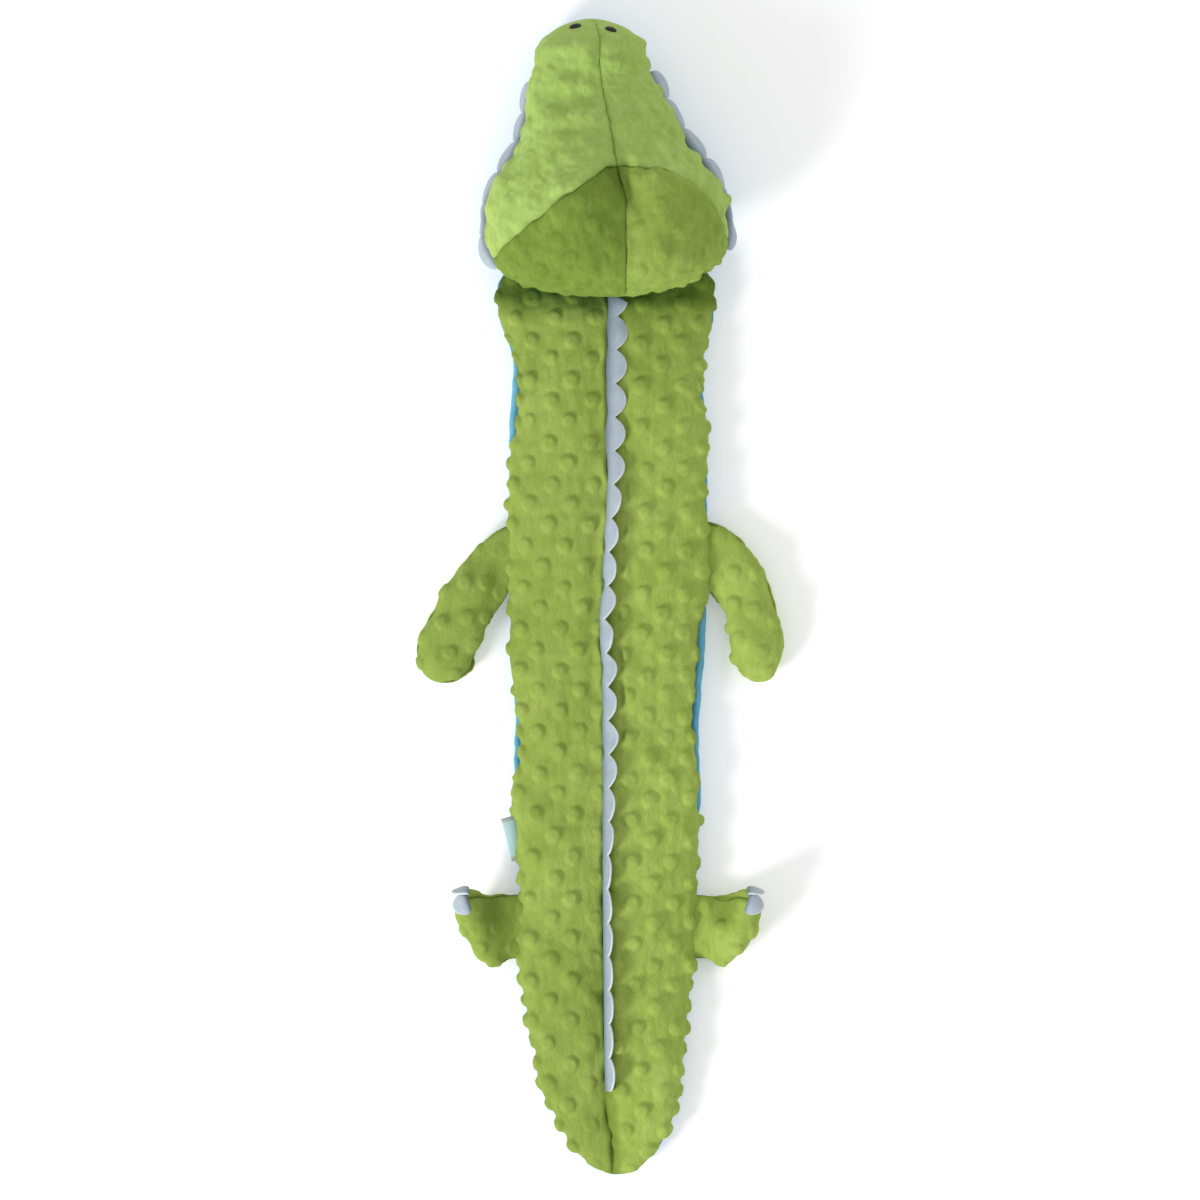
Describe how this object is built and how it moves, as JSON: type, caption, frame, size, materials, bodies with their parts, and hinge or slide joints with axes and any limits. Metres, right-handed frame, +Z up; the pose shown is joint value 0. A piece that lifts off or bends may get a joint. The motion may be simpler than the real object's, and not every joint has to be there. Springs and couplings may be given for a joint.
{
  "type": "crocodile squeaky toy",
  "caption": "Long flat plush crocodile with a stuffed head, limp arms and feet, a felt spine ridge and press-in squeakers inside.",
  "frame": {"origin": "on the flat of the belly panel, at the middle of the trunk, where the toy lies", "axes": "+Y to the nose, -Y to the tail, +X to the toy's right, +Z up from the belly"},
  "size_m": [0.2384, 0.7504, 0.0964],
  "materials": {
    "plush_green": "soft short-pile plush with raised dots",
    "fleece_blue": "smooth short-pile plush",
    "felt_pale": "pressed felt, matt",
    "wadding_white": "loose polyester fibre",
    "thread_black": "satin-stitched thread",
    "ribbon_aqua": "woven satin ribbon",
    "squeaker_plastic": "blown soft plastic",
    "reed_plastic": "moulded"
  },
  "bodies": {
    "trunk": {"back_panel_left": "plush_green", "back_panel_right": "plush_green", "belly_panel": "fleece_blue", "body_wadding": "wadding_white", "chest_squeaker_base": "squeaker_plastic", "chest_squeaker_bellows": "squeaker_plastic", "chest_squeaker_reed": "reed_plastic", "rump_squeaker_base": "squeaker_plastic", "rump_squeaker_bellows": "squeaker_plastic", "rump_squeaker_reed": "reed_plastic"},
    "head": {"crown_panel_left": "plush_green", "crown_panel_right": "plush_green", "head_back_panel_left": "plush_green", "head_back_panel_right": "plush_green", "teeth_left": "felt_pale", "teeth_right": "felt_pale", "nostril_left": "thread_black", "nostril_right": "thread_black", "eye_white_left": "felt_pale", "eye_white_right": "felt_pale", "eye_pupil_left": "thread_black", "eye_pupil_right": "thread_black", "jaw_panel": "fleece_blue", "head_wadding": "wadding_white", "head_squeaker_base": "squeaker_plastic", "head_squeaker_bellows": "squeaker_plastic", "head_squeaker_reed": "reed_plastic"},
    "arm_left": {"arm_left_top_panel": "plush_green", "arm_left_bottom_panel": "plush_green", "arm_left_wadding": "wadding_white"},
    "arm_right": {"arm_right_top_panel": "plush_green", "arm_right_bottom_panel": "plush_green", "arm_right_wadding": "wadding_white"},
    "foot_left": {"foot_left_top_panel": "plush_green", "foot_left_bottom_panel": "plush_green", "foot_left_wadding": "wadding_white", "claw_upper_left": "felt_pale", "claw_front_left": "felt_pale"},
    "foot_right": {"foot_right_top_panel": "plush_green", "foot_right_bottom_panel": "plush_green", "foot_right_wadding": "wadding_white", "claw_upper_right": "felt_pale", "claw_front_right": "felt_pale"},
    "ridge": {"spine_ridge": "felt_pale"},
    "tag": {"side_tag": "ribbon_aqua"},
    "chest_cap": {"chest_squeaker_cap": "squeaker_plastic"},
    "rump_cap": {"rump_squeaker_cap": "squeaker_plastic"},
    "head_cap": {"head_squeaker_cap": "squeaker_plastic"}
  },
  "joints": [
    {"name": "neck_nod", "type": "hinge", "parent": "trunk", "child": "head", "pos_m": [0, 0.229, 0.014], "axis": [-1, 0, 0], "range_deg": [-15, 45]},
    {"name": "shoulder_left", "type": "hinge", "parent": "trunk", "child": "arm_left", "pos_m": [-0.069, 0.0208, 0.012], "axis": [0, 1, 0], "range_deg": [-60, 80]},
    {"name": "shoulder_right", "type": "hinge", "parent": "trunk", "child": "arm_right", "pos_m": [0.069, 0.0242, 0.012], "axis": [0, -1, 0], "range_deg": [-60, 80]},
    {"name": "hip_left", "type": "hinge", "parent": "trunk", "child": "foot_left", "pos_m": [-0.0608, -0.2145, 0.012], "axis": [0, 1, 0], "range_deg": [-45, 60]},
    {"name": "hip_right", "type": "hinge", "parent": "trunk", "child": "foot_right", "pos_m": [0.0608, -0.2145, 0.012], "axis": [0, -1, 0], "range_deg": [-45, 60]},
    {"name": "ridge_flap", "type": "hinge", "parent": "trunk", "child": "ridge", "pos_m": [-0.0032, -0.06, 0.0269], "axis": [0, -1, 0], "range_deg": [0, 100]},
    {"name": "tag_flap", "type": "hinge", "parent": "trunk", "child": "tag", "pos_m": [-0.0624, -0.159, 0.012], "axis": [0, 1, 0], "range_deg": [-50, 75]},
    {"name": "chest_press", "type": "slide", "parent": "trunk", "child": "chest_cap", "axis": [0, 0, -1], "range_m": [0, 0.006], "stiffness_N_per_m": 300, "deforming": ["chest_squeaker_bellows"]},
    {"name": "rump_press", "type": "slide", "parent": "trunk", "child": "rump_cap", "axis": [0, 0, -1], "range_m": [0, 0.006], "stiffness_N_per_m": 300, "deforming": ["rump_squeaker_bellows"]},
    {"name": "head_press", "type": "slide", "parent": "head", "child": "head_cap", "axis": [0, 0, -1], "range_m": [0, 0.01], "stiffness_N_per_m": 300, "deforming": ["head_squeaker_bellows"]}
  ]
}
